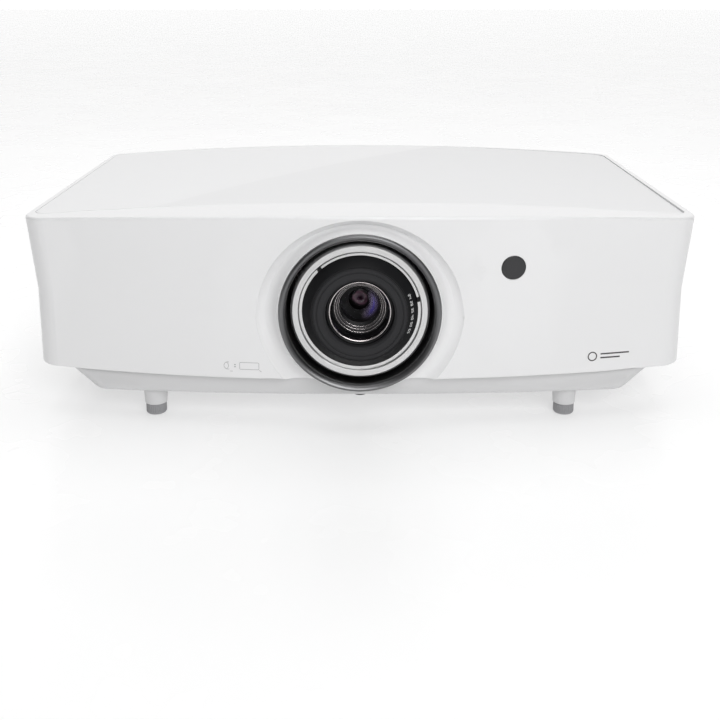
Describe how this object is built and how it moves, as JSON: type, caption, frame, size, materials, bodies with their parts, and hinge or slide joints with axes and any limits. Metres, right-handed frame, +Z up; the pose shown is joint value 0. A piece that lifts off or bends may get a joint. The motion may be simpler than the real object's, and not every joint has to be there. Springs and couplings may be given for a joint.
{
  "type": "home projector",
  "caption": "White home projector with a bowed front, a centred zoom lens in a dark metal ring, rear sockets and keys, and four levelling feet.",
  "frame": {"origin": "middle of the footprint, on the surface the feet stand on", "axes": "+X to the right seen from the lens side, -Y out of the lens, +Z up"},
  "size_m": [0.4982, 0.331, 0.161],
  "materials": {
    "white_case": "satin",
    "white_base": "satin",
    "rear_grey": "matte",
    "vent_grey": "matte",
    "steel": "satin",
    "brass": "satin",
    "black_plastic": "matte",
    "dark_window": "gloss",
    "light_pipe": "gloss",
    "dark_chrome": "gloss",
    "cast_metal": "matte",
    "motor_metal": "satin",
    "barrel_black": "satin",
    "bright_ring": "satin",
    "focus_grey": "satin",
    "lens_glass": "gloss",
    "board_green": "satin",
    "heatsink_metal": "satin",
    "socket_metal": "satin",
    "jack_plastic": "satin",
    "key_grey": "matte",
    "foot_grey": "matte"
  },
  "bodies": {
    "case": {"ac_inlet": "black_plastic", "audio_jacks": "jack_plastic", "bottom_case": "white_base", "case_screws": "steel", "data_sockets": "socket_metal", "engine_housing": "cast_metal", "fan_frames": "black_plastic", "foot_sleeves": "white_base", "front_boss": "black_plastic", "imager_board": "board_green", "imager_heatsink": "heatsink_metal", "ir_window": "dark_window", "laser_bank": "heatsink_metal", "laser_heatsink": "heatsink_metal", "lens_mount_plate": "black_plastic", "lens_trim_ring": "dark_chrome", "main_board": "board_green", "mount_inserts": "brass", "phosphor_motor": "motor_metal", "power_supply": "board_green", "prism": "lens_glass", "rear_panel": "rear_grey", "shift_motor_x": "motor_metal", "shift_rods_x": "steel", "side_vents": "vent_grey", "socket_frames": "rear_grey", "speakers": "black_plastic", "status_lights": "light_pipe", "top_panel": "white_case", "upper_case": "white_case", "video_sockets": "socket_metal"},
    "lens_side_carriage": {"lens_slide_x": "cast_metal", "shift_rods_z": "steel", "shift_motor_z": "motor_metal"},
    "lens_lift_carriage": {"lens_slide_z": "cast_metal", "lens_barrel": "barrel_black", "scale_arc": "bright_ring", "front_element": "lens_glass", "inner_element": "lens_glass"},
    "zoom": {"zoom_ring": "bright_ring"},
    "focus": {"focus_ring": "focus_grey"},
    "side_screw": {"leadscrew_x": "steel"},
    "lift_screw": {"leadscrew_z": "steel"},
    "colour_wheel": {"phosphor_wheel": "heatsink_metal"},
    "rotor_left": {"fan_rotor_left": "black_plastic"},
    "rotor_right": {"fan_rotor_right": "black_plastic"},
    "power_button_key": {"power_button": "key_grey"},
    "source_button_key": {"source_button": "key_grey"},
    "menu_button_key": {"menu_button": "key_grey"},
    "back_button_key": {"back_button": "key_grey"},
    "nav_pad_key": {"nav_pad": "key_grey"},
    "enter_button_key": {"enter_button": "key_grey"},
    "foot_front_left": {"foot_stud_front_left": "steel"},
    "tip_front_left": {"foot_tip_front_left": "foot_grey"},
    "foot_front_right": {"foot_stud_front_right": "steel"},
    "tip_front_right": {"foot_tip_front_right": "foot_grey"},
    "foot_rear_left": {"foot_stud_rear_left": "steel"},
    "tip_rear_left": {"foot_tip_rear_left": "foot_grey"},
    "foot_rear_right": {"foot_stud_rear_right": "steel"},
    "tip_rear_right": {"foot_tip_rear_right": "foot_grey"}
  },
  "joints": [
    {"name": "lens_shift_sideways", "type": "slide", "parent": "case", "child": "lens_side_carriage", "axis": [1, 0, 0], "range_m": [-0.0015, 0.0015]},
    {"name": "lens_shift_height", "type": "slide", "parent": "lens_side_carriage", "child": "lens_lift_carriage", "axis": [0, 0, 1], "range_m": [-0.002, 0.002]},
    {"name": "side_screw_turn", "type": "hinge", "parent": "case", "child": "side_screw", "pos_m": [0, -0.09, 0.052], "axis": [1, 0, 0], "range_deg": [-560, 560]},
    {"name": "lift_screw_turn", "type": "hinge", "parent": "lens_side_carriage", "child": "lift_screw", "pos_m": [0.052, -0.078, 0.092], "axis": [0, 0, 1], "range_deg": [-740, 740]},
    {"name": "zoom_turn", "type": "hinge", "parent": "lens_lift_carriage", "child": "zoom", "pos_m": [0, -0.145, 0.092], "axis": [0, 1, 0], "range_deg": [-30, 30]},
    {"name": "focus_turn", "type": "hinge", "parent": "lens_lift_carriage", "child": "focus", "pos_m": [0, -0.158, 0.092], "axis": [0, 1, 0], "range_deg": [-60, 60]},
    {"name": "colour_wheel_spin", "type": "hinge", "parent": "case", "child": "colour_wheel", "pos_m": [0.062, -0.018, 0.092], "axis": [1, 0, 0], "continuous": true},
    {"name": "fan_left_spin", "type": "hinge", "parent": "case", "child": "rotor_left", "pos_m": [-0.1875, 0.016, 0.0706], "axis": [1, 0, 0], "continuous": true},
    {"name": "fan_right_spin", "type": "hinge", "parent": "case", "child": "rotor_right", "pos_m": [0.1875, 0.016, 0.0706], "axis": [1, 0, 0], "continuous": true},
    {"name": "power_button_press", "type": "slide", "parent": "case", "child": "power_button_key", "axis": [0, -1, 0], "range_m": [0, 0.0012], "stiffness_N_per_m": 400},
    {"name": "source_button_press", "type": "slide", "parent": "case", "child": "source_button_key", "axis": [0, -1, 0], "range_m": [0, 0.001], "stiffness_N_per_m": 400},
    {"name": "menu_button_press", "type": "slide", "parent": "case", "child": "menu_button_key", "axis": [0, -1, 0], "range_m": [0, 0.001], "stiffness_N_per_m": 400},
    {"name": "back_button_press", "type": "slide", "parent": "case", "child": "back_button_key", "axis": [0, -1, 0], "range_m": [0, 0.001], "stiffness_N_per_m": 400},
    {"name": "nav_pad_press", "type": "slide", "parent": "case", "child": "nav_pad_key", "axis": [0, -1, 0], "range_m": [0, 0.0008], "stiffness_N_per_m": 600},
    {"name": "enter_button_press", "type": "slide", "parent": "case", "child": "enter_button_key", "axis": [0, -1, 0], "range_m": [0, 0.001], "stiffness_N_per_m": 400},
    {"name": "foot_front_left_extend", "type": "slide", "parent": "case", "child": "foot_front_left", "axis": [0, 0, -1], "range_m": [0, 0.018]},
    {"name": "foot_front_left_turn", "type": "hinge", "parent": "foot_front_left", "child": "tip_front_left", "pos_m": [-0.155, -0.12, 0.004], "axis": [0, 0, -1], "range_deg": [-20, 2180]},
    {"name": "foot_front_right_extend", "type": "slide", "parent": "case", "child": "foot_front_right", "axis": [0, 0, -1], "range_m": [0, 0.018]},
    {"name": "foot_front_right_turn", "type": "hinge", "parent": "foot_front_right", "child": "tip_front_right", "pos_m": [0.155, -0.12, 0.004], "axis": [0, 0, -1], "range_deg": [-20, 2180]},
    {"name": "foot_rear_left_extend", "type": "slide", "parent": "case", "child": "foot_rear_left", "axis": [0, 0, -1], "range_m": [0, 0.018]},
    {"name": "foot_rear_left_turn", "type": "hinge", "parent": "foot_rear_left", "child": "tip_rear_left", "pos_m": [-0.155, 0.125, 0.004], "axis": [0, 0, -1], "range_deg": [-20, 2180]},
    {"name": "foot_rear_right_extend", "type": "slide", "parent": "case", "child": "foot_rear_right", "axis": [0, 0, -1], "range_m": [0, 0.018]},
    {"name": "foot_rear_right_turn", "type": "hinge", "parent": "foot_rear_right", "child": "tip_rear_right", "pos_m": [0.155, 0.125, 0.004], "axis": [0, 0, -1], "range_deg": [-20, 2180]}
  ],
  "couplings": [
    {"joint": "side_screw_turn", "follows": "lens_shift_sideways", "rad_per_m": 6283.2},
    {"joint": "lift_screw_turn", "follows": "lens_shift_height", "rad_per_m": 6283.2},
    {"joint": "foot_front_left_turn", "follows": "foot_front_left_extend", "rad_per_m": 2094.4},
    {"joint": "foot_front_right_turn", "follows": "foot_front_right_extend", "rad_per_m": 2094.4},
    {"joint": "foot_rear_left_turn", "follows": "foot_rear_left_extend", "rad_per_m": 2094.4},
    {"joint": "foot_rear_right_turn", "follows": "foot_rear_right_extend", "rad_per_m": 2094.4}
  ]
}
